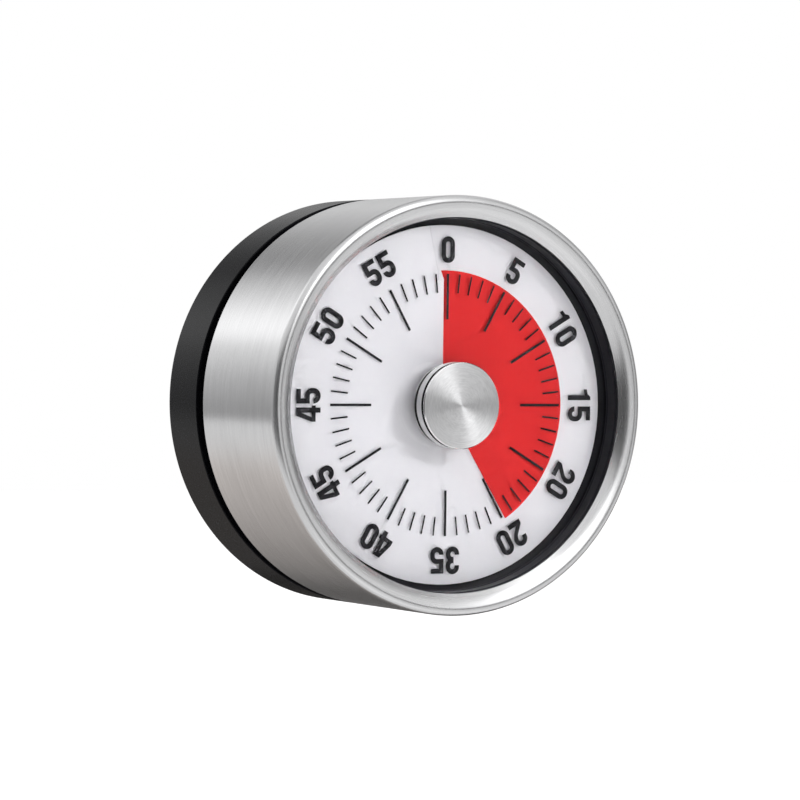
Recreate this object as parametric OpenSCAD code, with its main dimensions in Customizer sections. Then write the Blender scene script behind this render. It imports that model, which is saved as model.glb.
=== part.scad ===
// Visual countdown timer: a wind-up sixty-minute timer in a round drawn-steel case with a black rear shell.
// A coloured disc climbs through a radial slot in the white dial and shows the time that is left.
// The origin is the centre of the rear magnet face. The dial faces -Y, and +Z is up, towards the zero mark.
// Each sub-part is drawn lying on its back, with z towards the dial, and upright() stands it up.

/* [Case] */
// Outer diameter of the case
case_d = 80; // [78:1:84]
// Depth from the magnet face to the plane where the bezel starts to round over
case_depth = 45.3; // [44:0.1:47]
// Height of the black rear shell's outer wall
rear_wall = 12.8; // [12:0.2:13.4]
// Width of the shadow groove between the rear shell and the steel
groove_w = 3; // [2:0.2:3.6]
// Thickness of the drawn steel sheet
sheet = 0.6; // [0.5:0.05:0.7]
// Radius of the bezel's rounded front edge
bezel_round = 1.3; // [1:0.1:1.5]
// Slope of the bezel's inner flange, in degrees
bezel_slope = 33; // [28:1:36]

/* [Dial] */
// Minutes that the disc shows
minutes_set = 24.7; // [0:0.1:60]
// Outer diameter of the coloured disc
disc_d = 51.5; // [50:0.5:52.5]
// Axial rise of the dial and of the disc over one turn
dial_rise = 0.4; // [0.36:0.02:0.44]
// Numbers printed clockwise from the top, one for each five-minute mark
printed_minutes = [0, 5, 10, 15, 20, 20, 35, 40, 45, 45, 50, 55];
// Height of the numbers
digit_h = 5.1; // [4.6:0.1:5.4]
// Radius on which the numbers are centred
digit_ring_r = 29.7; // [29.6:0.1:30.2]

/* [Knob] */
// Diameter of the knob
knob_d = 16.5; // [15:0.5:18]
// Thickness of the knob's steel cap
knob_cap_h = 3; // [2.7:0.1:3.1]

/* [Movement] */
// Teeth of the main wheel
main_teeth = 72; // [70:1:74]
// Teeth of the second wheel
second_teeth = 60; // [58:1:60]
// Teeth of the third wheel
third_teeth = 50; // [48:1:50]
// Teeth of each pinion
pinion_teeth = 10; // [10:1:11]

/* [Hidden] */
$fn = 96;
eps = 0.01;
fit = 0.06;          // radial running clearance of a pivot or a shaft
seat = 0.05;         // gap between pieces that are assembled together
thrust_gap = 0.1;    // end float of a turning piece

// Case radii and the z of its planes
case_r = case_d / 2;
rear_z = 0.5;                              // rear shell's back, just behind the magnet face's plane
groove_z = rear_z + rear_wall;
shell_z = groove_z + groove_w;             // steel shell's rear edge
rim_z = case_depth;
lip_r = case_r - 4.2;                      // inner edge of the bezel
rear_inner_r = case_r - 1.8;
frame_r = case_r - sheet - 0.2;
frame_inner_r = case_r - 3;
floor_z = 3;                               // inside of the rear shell's floor
boss_top_z = 6.6;
magnet_r = 13;
magnet_h = 4.2;
pad_in = 24;                               // rubber ring's inner and outer radii
pad_out = 29;
pad_h = 2;
sound_holes = 12;
sound_hole_r = 1.2;
sound_ring_r = 19.5;
post_ring_r = case_r - 5.8;                // the inner frame's screw posts
post_r = 2.4;
post_angles = [45, 165, 285];

// Dial stack, from the front backwards
lens_front_z = rim_z - 4.1;
lens_h = 1.2;
lens_back_z = lens_front_z - lens_h;
lens_r = frame_inner_r - 0.4;
ring_wall_r = lip_r - 0.2;
print_h = 0.05;
print_z = lens_back_z - print_h - eps;
dial_r = case_r - 5.6;                     // white dial's outer edge
dial_base_z = lens_back_z - 0.85;          // the dial's middle surface at zero minutes
disc_lead = dial_rise / 2;                 // how far the disc runs ahead of the dial's surface
disc_r = disc_d / 2;
disc_t = 0.1;
dial_t = 0.15;
deck_top_z = lens_back_z - 1.9;
deck_h = 1.6;
deck_z = deck_top_z - deck_h;
set_angle = minutes_set * 6;
disc_span = 362;
tuck = 8;                                  // how far the dial's low edge reaches under its high edge

// Scale
mark_r = 25.1;
minor_mark = [0.32, 3.6];                  // width and length of a minute mark
major_mark = [0.48, 8.75];                 // and of a five-minute mark

// Knob
knob_r = knob_d / 2;
knob_top_z = rim_z + 1.1;
knob_cap_z = knob_top_z - knob_cap_h;
knob_core_h = 1.3;
knob_neck_r = knob_r - 0.3;                // the core and the skirt sit inside the cap's edge
knob_core_z = knob_cap_z - knob_core_h;
knob_skirt_h = 0.4;
knob_skirt_z = knob_core_z - knob_skirt_h;
shaft_r = 2;                               // main arbor
hub_r = 3.6;

// Movement planes
front_plate_z = rim_z - 15;
plate_h = 1;
pillar_h = 13;
gear_z = front_plate_z - pillar_h;         // inside face of the rear plate
rear_plate_z = gear_z - plate_h;
plate_r = case_r - 9;
pivot_r = 0.5;
staff_r = 0.9;
pillar_ring_r = 27;
pillar_angles = [15, 75, 135, 315];
hanger_ring_r = 24;                        // posts that hang the movement under the frame's deck
hanger_angles = [30, 150, 270];

// Gear train: modules, centre distances and the places of the arbors
main_m = 0.5;
second_m = 0.45;
third_m = 0.4;
pressure_angle = 25;
tooth_tip = 0.8;                           // addendum and dedendum in modules
tooth_root = 1;
backlash = 0.06;                           // taken off each tooth's width
function centre_distance(m, teeth) = m * (teeth + pinion_teeth) / 2;
function polar(r, a) = [r * cos(a), r * sin(a)];
second_dir = 200;
third_dir = -50;
escape_dir = -10;
pallet_dir = 20;
second_at = polar(centre_distance(main_m, main_teeth), second_dir);
third_at = second_at + polar(centre_distance(second_m, second_teeth), third_dir);
escape_at = third_at + polar(centre_distance(third_m, third_teeth), escape_dir);
pallet_at = escape_at + polar(8, pallet_dir);
hammer_at = [15.5, 14.5];
main_wheel_z = gear_z + 1.2;
ratchet_z = main_wheel_z + 1.1;
ratchet_teeth = 14;
ratchet_tip_r = 6;
ratchet_root_r = 5.1;
click_at = polar(10.5, 42);
click_stud_r = 0.7;
spring_z = gear_z + 4.6;
spring_h = 5.4;
second_wheel_z = gear_z + 11.4;
third_wheel_z = gear_z + 8;
escape_wheel_z = gear_z + 4;
wheel_h = 0.8;
pinion_h = 1.6;
escape_r = 5;
pallet_pin_r = 0.25;
pallet_pin_ring_r = 5.8;
pallet_pin_dirs = [-50, 50];

// Bell and hammer
bell_r = 27;
bell_t = 0.8;
bell_z = boss_top_z + 0.4;
bell_corner = 4;
bell_h = 6.4;
hammer_head_r = 2.2;
hammer_head_at = polar(22.9, 82);
hammer_arm_z = bell_z + 2.9;
hammer_arm_h = 1;
cam_z = front_plate_z + plate_h + 1.1;
cam_base_r = 5.6;
cam_lobe_r = 7.2;
cam_lobe = 25;                             // degrees that the lobe and the ramp before it span
cam_ramp = 30;
tail_tip_r = 8;

steel = [0.78, 0.78, 0.77];
bright_steel = [0.85, 0.85, 0.86];
dark_steel = [0.45, 0.45, 0.47];
brass = [0.8, 0.66, 0.35];
black = [0.14, 0.14, 0.15];
rubber_black = [0.08, 0.08, 0.08];
white = [0.9, 0.89, 0.92];
red = [0.86, 0.19, 0.19];
ink = [0.17, 0.16, 0.18];

// ---------- helpers ----------

module upright() {
    rotate([90, 0, 0]) children();
}

module at(point, z = 0) {
    translate([point[0], point[1], z]) children();
}

module tube(r_out, r_in, h) {
    difference() {
        cylinder(r = r_out, h = h);
        translate([0, 0, -1]) cylinder(r = r_in, h = h + 2);
    }
}

// Points of an arc, from angle a0 to angle a1, in steps
function arc(centre, r, a0, a1, steps) =
    [for (i = [0 : steps]) centre + polar(r, a0 + (a1 - a0) * i / steps)];

// A point on the dial, at radius r and clockwise angle a from the top
function on_dial(r, a) = [r * sin(a), r * cos(a)];

// Flat link between two points, of height h, with round ends of width w and a slightly narrower waist
module link(a, b, w, h) {
    d = b - a;
    waist = 0.9 * w;
    at(a) rotate([0, 0, atan2(d[1], d[0])]) translate([0, -waist / 2, 0]) cube([norm(d), waist, h]);
    at(b) cylinder(r = w / 2, h = h);
    at(a) cylinder(r = w / 2, h = h);
}

// A flat link from a to b that is bored for an arbor at a
module arm(a, b, w, h, bore_r) {
    difference() {
        union() {
            link(a, b, w, h);
            at(a) cylinder(r = bore_r + 0.7, h = h);
        }
        at(a, -1) cylinder(r = bore_r, h = h + 2);
        children();
    }
}

module screw(head_r, head_h, shank_r, shank_h) {
    difference() {
        cylinder(r = head_r, h = head_h);
        translate([-head_r, -head_r / 6, -1]) cube([2 * head_r, head_r / 3, 1 + head_h / 2]);
    }
    translate([0, 0, head_h - eps]) cylinder(r = shank_r, h = shank_h + eps);
}

// A helicoid sheet: radii is a list, start and end give the clockwise angle of each radius's two ends
module helicoid(radii, start, end, z0, rise, t, steps) {
    rows = len(radii);
    points = [
        for (i = [0 : steps]) for (side = [-0.5, 0.5]) for (k = [0 : rows - 1])
            let (a = start[k] + (end[k] - start[k]) * i / steps, p = on_dial(radii[k], a))
            [p[0], p[1], z0 + rise * a / 360 + side * t]
    ];
    function at_row(i, side, k) = (i * 2 + side) * rows + k;
    function quad(a, b, c, d) = [[a, b, c], [a, c, d]];
    faces = [
        for (i = [0 : steps - 1]) for (k = [0 : rows - 2]) for (f = concat(
            quad(at_row(i, 1, k), at_row(i, 1, k + 1), at_row(i + 1, 1, k + 1), at_row(i + 1, 1, k)),
            quad(at_row(i, 0, k), at_row(i + 1, 0, k), at_row(i + 1, 0, k + 1), at_row(i, 0, k + 1))
        )) f,
        for (i = [0 : steps - 1]) for (f = concat(
            quad(at_row(i, 0, 0), at_row(i, 1, 0), at_row(i + 1, 1, 0), at_row(i + 1, 0, 0)),
            quad(at_row(i, 0, rows - 1), at_row(i + 1, 0, rows - 1), at_row(i + 1, 1, rows - 1),
                 at_row(i, 1, rows - 1))
        )) f,
        for (k = [0 : rows - 2]) for (f = concat(
            quad(at_row(0, 0, k), at_row(0, 0, k + 1), at_row(0, 1, k + 1), at_row(0, 1, k)),
            quad(at_row(steps, 0, k), at_row(steps, 1, k), at_row(steps, 1, k + 1), at_row(steps, 0, k + 1))
        )) f
    ];
    polyhedron(points = points, faces = faces, convexity = 4);
}

// ---------- gears ----------

function involute(a) = tan(a) * 180 / PI - a;

// Half the angle that a tooth spans at radius r
function tooth_half_angle(m, teeth, r) =
    let (pitch_r = m * teeth / 2, base_r = pitch_r * cos(pressure_angle))
    90 / teeth - backlash / 2 / pitch_r * 180 / PI + involute(pressure_angle)
    - (r > base_r ? involute(acos(base_r / r)) : 0);

// One tooth's outline, from its trailing root to its leading root
function tooth_points(m, teeth) =
    let (
        pitch_r = m * teeth / 2,
        root_r = pitch_r - tooth_root * m,
        tip_r = pitch_r + tooth_tip * m,
        low_r = max(root_r, pitch_r * cos(pressure_angle)),
        flank = [root_r - eps, low_r, (low_r + tip_r) / 2, tip_r]
    )
    concat(
        [for (r = flank) polar(r, -tooth_half_angle(m, teeth, r))],
        [for (i = [3 : -1 : 0]) polar(flank[i], tooth_half_angle(m, teeth, flank[i]))]
    );

function turned(p, a) = [p[0] * cos(a) - p[1] * sin(a), p[0] * sin(a) + p[1] * cos(a)];

// A spur gear with its first tooth on the +X axis
module gear(m, teeth, h) {
    tooth = tooth_points(m, teeth);
    linear_extrude(h) polygon([for (i = [0 : teeth - 1]) for (p = tooth) turned(p, 360 * i / teeth)]);
}

// A wheel with a round bore, lightened by a ring of holes
module wheel(m, teeth, h, bore_r, holes) {
    pitch_r = m * teeth / 2;
    hole_ring = pitch_r * 0.58;
    difference() {
        gear(m, teeth, h);
        translate([0, 0, -1]) cylinder(r = bore_r, h = h + 2);
        for (i = [1 : holes])
            at(polar(hole_ring, 360 * i / holes), -1) cylinder(r = pitch_r * 0.24, h = h + 2);
    }
}

// An arbor with its two pivots and its pinion; the pinion's gap faces the direction gap_dir
module train_arbor(m, pinion_z, gap_dir) {
    translate([0, 0, rear_plate_z + 0.1]) cylinder(r = pivot_r, h = pillar_h + 2 * plate_h - 0.2);
    translate([0, 0, gear_z + 0.2]) cylinder(r = staff_r, h = pillar_h - 0.4);
    translate([0, 0, pinion_z]) rotate([0, 0, gap_dir + 180 / pinion_teeth]) gear(m, pinion_teeth, pinion_h);
}

// ---------- case ----------

module rear_case() {
    corner = 1;
    difference() {
        union() {
            rotate_extrude($fn = 180) polygon(concat(
                [[0, rear_z]],
                arc([case_r - corner, rear_z + corner], corner, -90, 0, 6),
                [[case_r, groove_z - 0.2], [case_r - 0.2, groove_z], [rear_inner_r, groove_z],
                 [rear_inner_r, floor_z], [0, floor_z]]
            ));
            cylinder(r = magnet_r + 2, h = boss_top_z);
        }
        translate([0, 0, -1]) cylinder(r = magnet_r + seat, h = magnet_h + 1 + seat);
        translate([0, 0, -1]) cylinder(r = 1.5, h = boss_top_z + 2);
        translate([0, 0, -1]) tube(pad_out + seat, pad_in - seat, pad_h + 1);
        cylinder(r = magnet_r + 3, h = 2 * rear_z, center = true);
        for (i = [0 : sound_holes - 1])
            at(polar(sound_ring_r, 360 * i / sound_holes), -1) cylinder(r = sound_hole_r, h = floor_z + 2);
        for (a = post_angles) {
            at(polar(post_ring_r, a), -1) cylinder(r = 2.6, h = 3);
            at(polar(post_ring_r, a), -1) cylinder(r = 1.2, h = floor_z + 2);
        }
    }
}

module rubber_ring() {
    tube(pad_out, pad_in, pad_h);
}

module magnet_cup() {
    difference() {
        cylinder(r = magnet_r, h = magnet_h);
        translate([0, 0, -1]) cylinder(r = magnet_r - 1.3, h = magnet_h);
    }
}

module magnet_core() {
    cylinder(r = magnet_r - 1.3 - seat, h = magnet_h - 1 - seat);
}

module case_screws() {
    for (a = post_angles)
        at(polar(post_ring_r, a), 0.7) screw(2.3, 1.25, 1, 11);
}

module inner_frame() {
    wall_top_z = lens_front_z;
    difference() {
        union() {
            rotate_extrude($fn = 180) polygon([
                [frame_inner_r, 9], [rear_inner_r - 0.1, 9], [rear_inner_r - 0.1, shell_z + 0.2],
                [frame_r, shell_z + 1.3], [frame_r, wall_top_z], [frame_inner_r, wall_top_z]
            ]);
            translate([0, 0, deck_z]) cylinder(r = frame_inner_r + eps, h = deck_h);
            for (a = post_angles)
                at(polar(post_ring_r, a), floor_z + seat) cylinder(r = post_r, h = deck_z - floor_z);
        }
        translate([0, 0, deck_z - 1]) cylinder(r = 5, h = deck_h + 2);
        for (a = post_angles)
            at(polar(post_ring_r, a), 0) cylinder(r = 1.05, h = 15);
        for (a = hanger_angles) {
            at(polar(hanger_ring_r, a), deck_z - 1) cylinder(r = 1.2, h = deck_h + 2);
            at(polar(hanger_ring_r, a), deck_top_z - 0.8) cylinder(r = 2.1, h = 1);
        }
    }
}

module steel_shell() {
    centre = [case_r - bezel_round, rim_z];
    top = 90 + bezel_slope;
    outer = arc(centre, bezel_round, 0, top, 12);
    inner = arc(centre, bezel_round - sheet, top, 0, 8);
    drop = tan(bezel_slope);
    outer_end = outer[12];
    inner_end = inner[0];
    hem_r = lip_r + sheet;
    lip_z = outer_end[1] - (outer_end[0] - lip_r) * drop;
    hem_z = inner_end[1] - (inner_end[0] - hem_r) * drop;
    nick = 0.12;
    rotate_extrude($fn = 180) polygon(concat(
        [[case_r - sheet, shell_z], [case_r - nick, shell_z], [case_r, shell_z + nick]],
        outer,
        [[lip_r + nick, lip_z + nick * drop], [lip_r, lip_z - nick], [lip_r, lip_z - 0.6],
         [hem_r, lip_z - 0.6], [hem_r, hem_z]],
        inner
    ));
}

module dial_ring() {
    foot_z = lens_front_z + seat;
    top_z = rim_z - 1.05;
    bead = 0.2;
    rotate_extrude($fn = 180) polygon([
        [ring_wall_r - bead, foot_z], [frame_r, foot_z], [frame_r, top_z - 0.6], [frame_r - 0.6, top_z],
        [ring_wall_r + 0.25, top_z], [ring_wall_r, top_z - 0.25], [ring_wall_r, foot_z + 2 * bead],
        [ring_wall_r - bead, foot_z + bead]
    ]);
}

module dial_spacer() {
    top_z = lens_back_z - seat;
    inner_r = dial_r + 0.1;
    rotate_extrude($fn = 180) polygon([
        [inner_r, deck_top_z], [frame_inner_r - 0.1, deck_top_z], [frame_inner_r - 0.1, top_z],
        [inner_r + 0.9, top_z], [inner_r, top_z - 0.9]
    ]);
}

module scale_lens() {
    translate([0, 0, lens_back_z]) difference() {
        cylinder(r = lens_r, h = lens_h, $fn = 180);
        translate([0, 0, -1]) cylinder(r = shaft_r + 0.6, h = lens_h + 2);
    }
}

// ---------- scale ----------

module minute_marks() {
    for (i = [0 : 59]) {
        size = i % 5 == 0 ? major_mark : minor_mark;
        rotate([0, 0, -6 * i])
            translate([-size[0] / 2, mark_r - size[1], print_z]) cube([size[0], size[1], print_h]);
    }
}

digit_w = digit_h * 0.57;
digit_stroke = digit_h * 0.19;
digit_gap = digit_h * 0.1;

// A stadium, upright, with its lower left corner at the origin
module stadium(w, h) {
    r = w / 2;
    translate([r, r]) circle(r = r, $fn = 48);
    translate([r, h - r]) circle(r = r, $fn = 48);
    translate([0, r]) square([w, h - w]);
}

module bowl(w, h, stroke) {
    difference() {
        stadium(w, h);
        translate([stroke, stroke]) stadium(w - 2 * stroke, h - 2 * stroke);
    }
}

module digit_zero(w, h, s) {
    bowl(w, h, s);
}

module digit_one(w, h, s) {
    polygon([[w * 0.42, 0], [w * 0.42 + s, 0], [w * 0.42 + s, h], [w * 0.52, h], [w * 0.34, h * 0.88],
             [w * 0.02, h * 0.84], [w * 0.02, h * 0.7], [w * 0.42, h * 0.74]]);
}

module digit_two(w, h, s) {
    difference() {
        bowl(w, h, s);
        translate([-1, -1]) square([w - s + 1, h * 0.64 + 1]);
        translate([-1, -1]) square([w + 2, h * 0.62 + 1]);
    }
    polygon([[w, h * 0.63], [w - s, h * 0.63], [w - s * 1.3, h * 0.52], [0, s], [0, 0], [w, 0], [w, s],
             [s * 1.25, s], [w * 0.86, h * 0.46]]);
}

module digit_three(w, h, s) {
    low_h = h * 0.56;
    difference() {
        union() {
            bowl(w, low_h, s);
            translate([0, h - low_h + s * 0.12]) bowl(w, low_h - s * 0.12, s);
        }
        translate([-1, h * 0.3]) square([w * 0.42 + 1, h * 0.4]);
    }
}

module digit_four(w, h, s) {
    difference() {
        polygon([[w * 0.38, h], [w * 0.92, h], [w * 0.92, 0], [w * 0.92 - s, 0], [w * 0.92 - s, h * 0.2],
                 [0, h * 0.2], [0, h * 0.37]]);
        polygon([[w * 0.92 - s, h * 0.36], [w * 0.92 - s, h * 0.8], [s * 0.9, h * 0.36]]);
    }
    translate([w * 0.85, h * 0.2]) square([w * 0.2, h * 0.16]);
}

module digit_five(w, h, s) {
    bowl_h = h * 0.64;
    difference() {
        bowl(w, bowl_h, s);
        translate([-1, h * 0.29]) square([w * 0.45 + 1, h * 0.16]);
        translate([-1, h * 0.29]) square([s + 1, h]);
    }
    translate([0, h * 0.45]) square([s, h * 0.55]);
    translate([0, h - s * 0.95]) square([w * 0.94, s * 0.95]);
}

module digit(n) {
    if (n == 0) digit_zero(digit_w, digit_h, digit_stroke);
    if (n == 1) digit_one(digit_w, digit_h, digit_stroke);
    if (n == 2) digit_two(digit_w, digit_h, digit_stroke);
    if (n == 3) digit_three(digit_w, digit_h, digit_stroke);
    if (n == 4) digit_four(digit_w, digit_h, digit_stroke);
    if (n == 5) digit_five(digit_w, digit_h, digit_stroke);
}

module numerals() {
    step = digit_w + digit_gap;
    for (i = [0 : 11]) {
        number = printed_minutes[i];
        figures = number < 10 ? [number] : [floor(number / 10), number % 10];
        width = len(figures) * step - digit_gap;
        rotate([0, 0, -30 * i])
            for (k = [0 : len(figures) - 1])
                translate([k * step - width / 2, digit_ring_r - digit_h / 2, print_z])
                    linear_extrude(print_h) digit(figures[k]);
    }
}

// ---------- dial and disc ----------

module dial_plate() {
    slot = [[4.4, 0.7], [disc_r - 1.7, 0.7], [disc_r + 0.1, 1.4], [disc_r + 1, 2.4], [dial_r, 3.7]];
    radii = [for (s = slot) s[0]];
    edge = [for (s = slot) asin(s[1] / s[0])];
    low = [for (a = edge) -tuck - a];
    high = [for (a = edge) 360 - a];
    helicoid(radii, low, high, dial_base_z, dial_rise, dial_t, 92);
    for (a = [60, 180, 300]) {
        foot_z = dial_base_z + dial_rise * (90 - a < 0 ? 450 - a : 90 - a) / 360;
        at(polar(30, a), deck_top_z) cylinder(r = 1.2, h = foot_z - deck_top_z, $fn = 24);
    }
}

module disc_hub() {
    low_z = dial_base_z + disc_lead + dial_rise * (set_angle - disc_span) / 360 - disc_t;
    difference() {
        translate([0, 0, low_z]) cylinder(r = hub_r, h = dial_rise * disc_span / 360 + 2 * disc_t);
        translate([0, 0, low_z - 1]) cylinder(r = shaft_r + 0.07, h = dial_rise + 3, $fn = 6);
    }
}

module red_disc() {
    helicoid([hub_r + eps, disc_r], [1, 1] * (set_angle - disc_span), [1, 1] * set_angle,
             dial_base_z + disc_lead, dial_rise, disc_t, 90);
}

// ---------- knob ----------

// The cap's groove has a steep front wall and a long slope behind it, which show as a fine dark line
module knob_cap() {
    chamfer = 0.15;
    front_z = knob_top_z - 0.3;
    floor_r = knob_r - 0.35;
    difference() {
        rotate_extrude($fn = 180) polygon([
            [0, knob_cap_z], [knob_r - chamfer, knob_cap_z], [knob_r, knob_cap_z + chamfer],
            [knob_r, front_z - 0.8], [floor_r, front_z - 0.1], [knob_r, front_z],
            [knob_r, knob_top_z - chamfer], [knob_r - chamfer, knob_top_z], [0, knob_top_z]
        ]);
        translate([0, 0, knob_cap_z - 1]) cylinder(r = shaft_r + seat, h = knob_cap_h);
    }
}

module knob_core() {
    translate([0, 0, knob_core_z]) tube(knob_neck_r, shaft_r + seat, knob_core_h);
}

module knob_skirt() {
    translate([0, 0, knob_skirt_z]) tube(knob_neck_r, shaft_r + seat, knob_skirt_h);
}

module knob_washer() {
    washer_z = lens_front_z + thrust_gap;
    translate([0, 0, washer_z]) tube(5, shaft_r + seat, knob_skirt_z - washer_z);
}

// ---------- movement ----------

module main_arbor() {
    hex_z = deck_z - 1;
    translate([0, 0, rear_plate_z - 0.2]) cylinder(r = 1.2, h = 3);
    translate([0, 0, gear_z + 0.2]) cylinder(r = shaft_r, h = hex_z - gear_z - 0.2 + eps);
    translate([0, 0, hex_z]) cylinder(r = shaft_r, h = lens_back_z - hex_z + eps, $fn = 6);
    translate([0, 0, lens_back_z]) cylinder(r = shaft_r, h = knob_top_z - 1.1 - lens_back_z);
}

module arbor_clip() {
    translate([0, 0, front_plate_z + plate_h + 0.1]) tube(3.4, shaft_r + 0.02, 0.5);
}

module main_wheel() {
    translate([0, 0, main_wheel_z]) rotate([0, 0, second_dir])
        wheel(main_m, main_teeth, 1, shaft_r + 0.02, 5);
}

module ratchet_wheel() {
    translate([0, 0, ratchet_z]) difference() {
        linear_extrude(wheel_h) polygon([
            for (i = [0 : ratchet_teeth - 1]) for (p = [[ratchet_root_r, 0], [ratchet_tip_r, 0.9]])
                polar(p[0], 360 * (i + p[1]) / ratchet_teeth)
        ]);
        translate([0, 0, -1]) cylinder(r = shaft_r + 0.02, h = wheel_h + 2);
    }
}

// The click's nose lies in a gap of the ratchet wheel and pushes on the steep side of a tooth
module click() {
    nose = [[5.3, 1.5], [6.3, -1], [7.1, 5], [6.4, 14]];
    translate([0, 0, ratchet_z]) {
        arm(click_at, polar(6.5, 6), 1.2, wheel_h, click_stud_r + fit);
        linear_extrude(wheel_h) polygon([for (p = nose) polar(p[0], p[1])]);
    }
}

module click_stud() {
    at(click_at, main_wheel_z + 1) cylinder(r = click_stud_r, h = ratchet_z + wheel_h - main_wheel_z - 0.9);
    at(click_at, ratchet_z + wheel_h + 0.1) cylinder(r = click_stud_r + 0.6, h = 0.4);
}

// Points of an arc between two clockwise angles
function cam_arc(r, a0, a1, steps) = [for (i = [0 : steps]) on_dial(r, a0 + (a1 - a0) * i / steps)];

// The cam's ramp and lobe lift the hammer's tail as zero comes near, and its step lets it fall at zero
module release_cam() {
    tail_dir = 90 - tail_angle;
    translate([0, 0, cam_z]) difference() {
        linear_extrude(1) polygon(concat(
            cam_arc(cam_lobe_r, tail_dir + set_angle - cam_lobe, tail_dir + set_angle, 8),
            cam_arc(cam_base_r, tail_dir + set_angle, tail_dir + set_angle + 360 - cam_lobe - cam_ramp, 60)
        ));
        translate([0, 0, -1]) cylinder(r = shaft_r + 0.02, h = 3);
    }
}

module plate(z) {
    translate([0, 0, z]) difference() {
        cylinder(r = plate_r, h = plate_h);
        for (p = [second_at, third_at, escape_at, pallet_at])
            at(p, -1) cylinder(r = pivot_r + fit, h = plate_h + 2);
        at(hammer_at, -1) cylinder(r = staff_r + fit, h = plate_h + 2);
        for (a = pillar_angles)
            at(polar(pillar_ring_r, a), -1) cylinder(r = 1, h = plate_h + 2);
        translate([0, 0, -1]) cylinder(r = 3, h = plate_h + 2);
        children();
    }
}

module front_plate() {
    plate(front_plate_z);
}

module rear_plate() {
    plate(rear_plate_z) for (a = [-100, 100, 140]) at(polar(13, a), -1) cylinder(r = 3.4, h = plate_h + 2);
}

module arbor_bushes() {
    translate([0, 0, front_plate_z]) tube(2.98, shaft_r + fit, plate_h);
    translate([0, 0, rear_plate_z]) tube(2.98, 1.2 + fit, plate_h);
}

module plate_pillars() {
    for (a = pillar_angles)
        at(polar(pillar_ring_r, a), gear_z) tube(2, 0.92, pillar_h);
}

module plate_screws() {
    for (a = pillar_angles) {
        at(polar(pillar_ring_r, a), rear_plate_z - 1) screw(1.8, 1, 0.88, 5);
        at(polar(pillar_ring_r, a), front_plate_z + plate_h + 1) mirror([0, 0, 1]) screw(1.8, 1, 0.88, 5);
    }
}

module hanger_posts() {
    post_z = front_plate_z + plate_h;
    for (a = hanger_angles)
        at(polar(hanger_ring_r, a), post_z) tube(2.2, 0.92, deck_z - post_z);
}

module hanger_screws() {
    for (a = hanger_angles)
        at(polar(hanger_ring_r, a), deck_top_z - 0.05) mirror([0, 0, 1]) screw(2, 0.7, 0.88, 5);
}

// Points along a spiral strip's edge, offset from its middle line
function spiral(r0, pitch, turns, offset, steps) =
    [for (i = [0 : steps]) let (a = 360 * turns * i / steps) polar(r0 + pitch * a / 360 + offset, a)];

module mainspring() {
    strip = 0.28;
    turns = 8;
    pitch = 0.78;
    steps = turns * 20;
    outer = spiral(3, pitch, turns, strip / 2, steps);
    inner = spiral(3, pitch, turns, -strip / 2, steps);
    translate([0, 0, spring_z]) linear_extrude(spring_h)
        polygon(concat(outer, [for (i = [steps : -1 : 0]) inner[i]]));
}

module second_arbor() {
    at(second_at) train_arbor(main_m, main_wheel_z - 0.3, second_dir + 180);
}

module second_wheel() {
    at(second_at, second_wheel_z) rotate([0, 0, third_dir])
        wheel(second_m, second_teeth, wheel_h, staff_r + 0.01, 5);
}

module third_arbor() {
    at(third_at) train_arbor(second_m, second_wheel_z - 0.4, third_dir + 180);
}

module third_wheel() {
    at(third_at, third_wheel_z) rotate([0, 0, escape_dir])
        wheel(third_m, third_teeth, wheel_h, staff_r + 0.01, 4);
}

module escape_arbor() {
    at(escape_at) train_arbor(third_m, third_wheel_z - 0.4, escape_dir + 180);
}

module escape_wheel() {
    teeth = 20;
    root_r = 4;
    at(escape_at, escape_wheel_z) difference() {
        linear_extrude(wheel_h) polygon([
            for (i = [0 : teeth - 1])
                for (p = [[root_r, 0.1], [escape_r, 0.62], [escape_r, 0.78], [root_r, 0.9]])
                    polar(p[0], 360 * (i + p[1]) / teeth)
        ]);
        translate([0, 0, -1]) cylinder(r = staff_r + 0.01, h = wheel_h + 2);
    }
}

module pallet_arbor() {
    at(pallet_at, rear_plate_z + 0.1) cylinder(r = pivot_r, h = pillar_h + 2 * plate_h - 0.2);
    at(pallet_at, gear_z + 0.2) cylinder(r = staff_r, h = pillar_h - 0.4);
}

module pallet_lever() {
    arm_z = escape_wheel_z + wheel_h + 0.3;
    pin_z = escape_wheel_z - 0.2;
    for (d = pallet_pin_dirs) {
        pin_at = escape_at + polar(pallet_pin_ring_r, pallet_dir + d);
        translate([0, 0, arm_z]) arm(pallet_at, pin_at, 1.1, 0.6, staff_r + 0.01);
        at(pin_at, pin_z) cylinder(r = pallet_pin_r, h = arm_z - pin_z + eps);
    }
}

module balance_bar() {
    bar_z = escape_wheel_z + 4;
    for (d = [90, -90]) {
        end = pallet_at + polar(4.2, pallet_dir + d);
        translate([0, 0, bar_z]) arm(pallet_at, end, 1.3, 0.7, staff_r + 0.01);
        at(end, bar_z - 0.5) cylinder(r = 1.3, h = 1.7);
    }
}

// ---------- bell and hammer ----------

module bell_washer() {
    translate([0, 0, boss_top_z]) tube(4, 1.6, bell_z - boss_top_z);
}

module bell() {
    top_z = bell_z + bell_h;
    centre = [bell_r - bell_corner, bell_z + bell_corner];
    rotate_extrude($fn = 128) polygon(concat(
        [[1.6, bell_z]],
        arc(centre, bell_corner, -90, 0, 8),
        [[bell_r, top_z], [bell_r - bell_t, top_z]],
        arc(centre, bell_corner - bell_t, 0, -90, 8),
        [[1.6, bell_z + bell_t]]
    ));
}

module bell_screw() {
    translate([0, 0, bell_z + bell_t + 1.4]) mirror([0, 0, 1]) screw(3, 1.4, 1.45, 2.9);
}

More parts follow.
